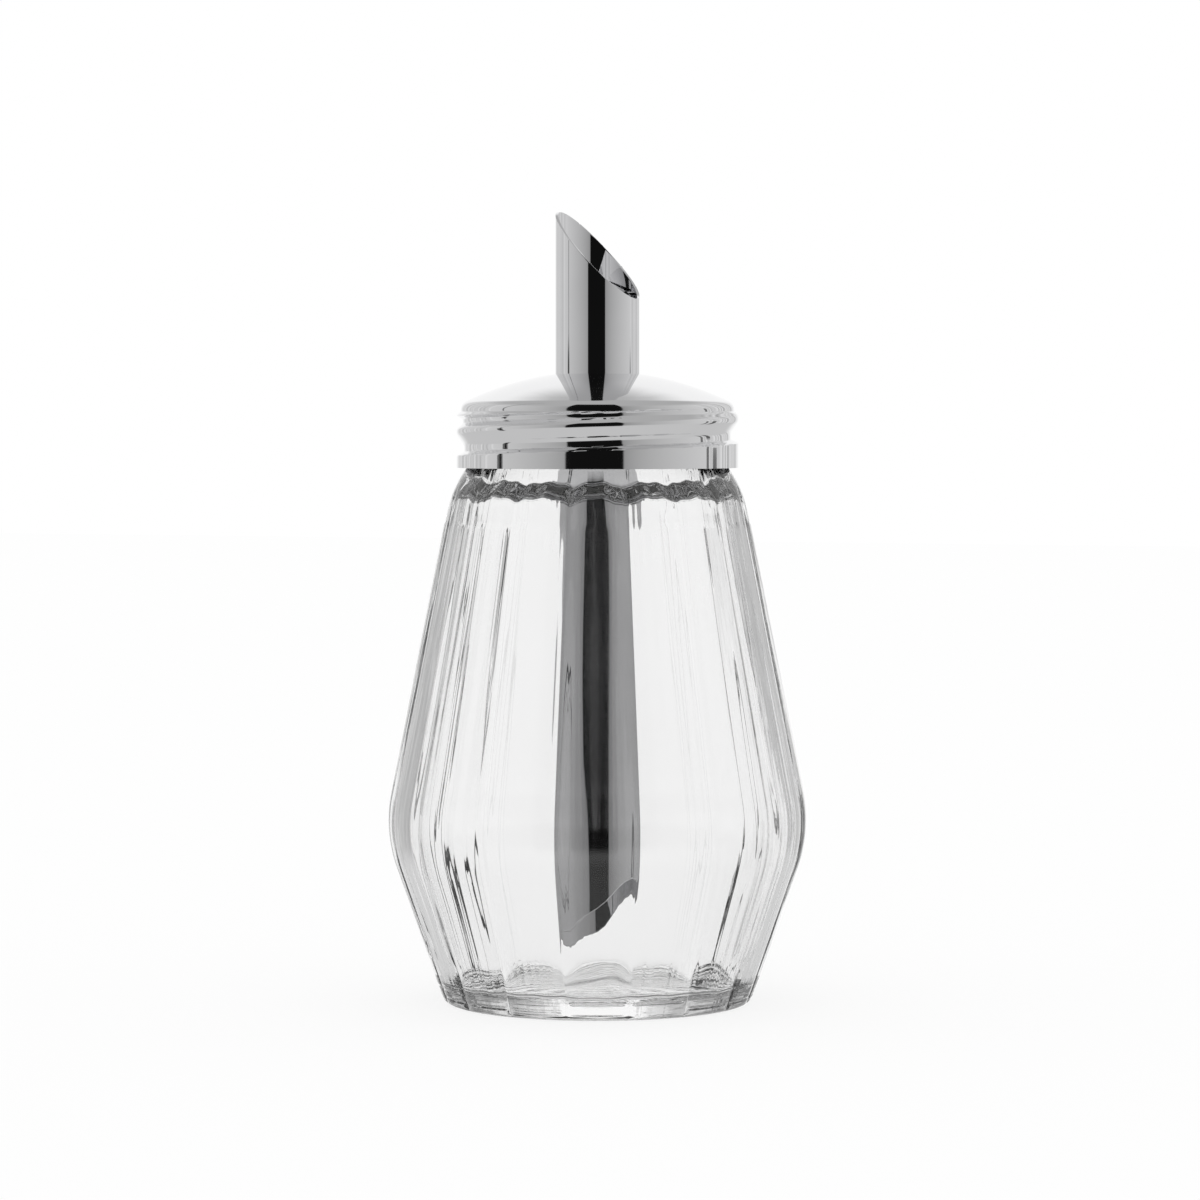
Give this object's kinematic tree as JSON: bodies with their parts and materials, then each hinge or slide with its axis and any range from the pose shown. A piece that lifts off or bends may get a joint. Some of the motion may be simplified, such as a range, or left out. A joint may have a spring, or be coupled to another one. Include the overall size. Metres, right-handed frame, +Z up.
{
  "type": "sugar dispenser",
  "caption": "Panelled glass jar with a screw cap and a mitred pouring tube, closed at its mouth by a small flap that swings on a pin and falls shut by itself.",
  "frame": {"origin": "centre of the base, on the surface that the jar stands on", "axes": "+Z up along the jar and the pouring tube, +X the way it pours, towards the low side of the tube's mouth"},
  "size_m": [0.0796, 0.0796, 0.1501],
  "materials": {
    "clear_glass": "clear pressed glass with a bright polished surface",
    "polished_cap": "mirror-polished pressed steel sheet",
    "polished_tube": "mirror-polished drawn steel tube, finer drawn lines inside",
    "plain_steel": "plain turned and stamped steel",
    "seal_white": "soft white sealing compound"
  },
  "bodies": {
    "jar": {"glass_jar": "clear_glass"},
    "seal": {"seal_ring": "seal_white"},
    "lid": {"screw_cap": "polished_cap", "spout_tube": "polished_tube", "tube_collar": "plain_steel", "flap_pin": "plain_steel"},
    "flap": {"flap": "plain_steel"}
  },
  "joints": [
    {"name": "lid_rise", "type": "slide", "parent": "jar", "child": "seal", "axis": [0, 0, 1], "range_m": [0, 0.005]},
    {"name": "lid_turn", "type": "hinge", "parent": "seal", "child": "lid", "pos_m": [0, 0, 0.1072], "axis": [0, 0, 1], "range_deg": [0, 360]},
    {"name": "flap_swing", "type": "hinge", "parent": "lid", "child": "flap", "pos_m": [0.002, 0, 0.13462], "axis": [0, 1, 0], "range_deg": [0, 45]}
  ],
  "couplings": [
    {"joint": "lid_turn", "follows": "lid_rise", "rad_per_m": 1256.6}
  ]
}
